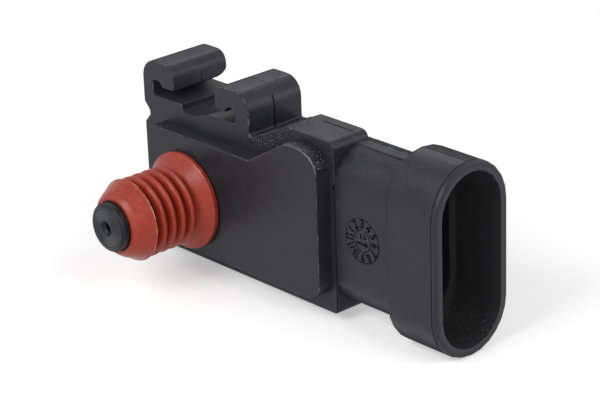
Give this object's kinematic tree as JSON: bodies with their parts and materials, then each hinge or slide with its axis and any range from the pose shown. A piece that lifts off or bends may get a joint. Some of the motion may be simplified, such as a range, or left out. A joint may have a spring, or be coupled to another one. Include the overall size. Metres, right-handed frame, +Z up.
{
  "type": "manifold absolute pressure sensor",
  "caption": "Compact black moulded engine pressure sensor with a red ribbed port seal, bracket hooks on top and an oval shrouded electrical connector",
  "frame": {"origin": "middle of the underside of the whole part's box", "axes": "+X along the body towards the connector mouth, +Y towards the rear cover, +Z up to the bracket hooks; the pressure port points along -Y"},
  "size_m": [0.0628, 0.0324, 0.0309],
  "materials": {
    "black_plastic": "moulded satin",
    "cover_plastic": "moulded satin",
    "red_silicone": "soft satin",
    "tinned_brass": "tinned",
    "aluminium": "drawn",
    "alumina": "matt",
    "clear_silicone": "clear",
    "grey_adhesive": "satin",
    "silicon": "polished",
    "glass": "polished",
    "epoxy_black": "satin",
    "capacitor_tan": "satin",
    "steel_ring": "brushed"
  },
  "bodies": {
    "root": {"housing": "black_plastic", "port_seal": "red_silicone", "rear_cover": "cover_plastic", "cover_adhesive": "grey_adhesive", "circuit_board": "alumina", "board_adhesive": "grey_adhesive", "cell_cup": "steel_ring", "cell_seal": "clear_silicone", "glass_pedestal": "glass", "pressure_die": "silicon", "protective_gel": "clear_silicone", "signal_chip": "epoxy_black", "capacitor_1": "capacitor_tan", "resistor_1": "epoxy_black", "capacitor_2": "capacitor_tan", "resistor_2": "epoxy_black", "capacitor_3": "capacitor_tan", "resistor_3": "epoxy_black", "capacitor_4": "capacitor_tan", "resistor_4": "epoxy_black", "blade_terminal_1": "tinned_brass", "terminal_strap_1": "aluminium", "blade_terminal_2": "tinned_brass", "terminal_strap_2": "aluminium", "blade_terminal_3": "tinned_brass", "terminal_strap_3": "aluminium"}
  },
  "joints": []
}
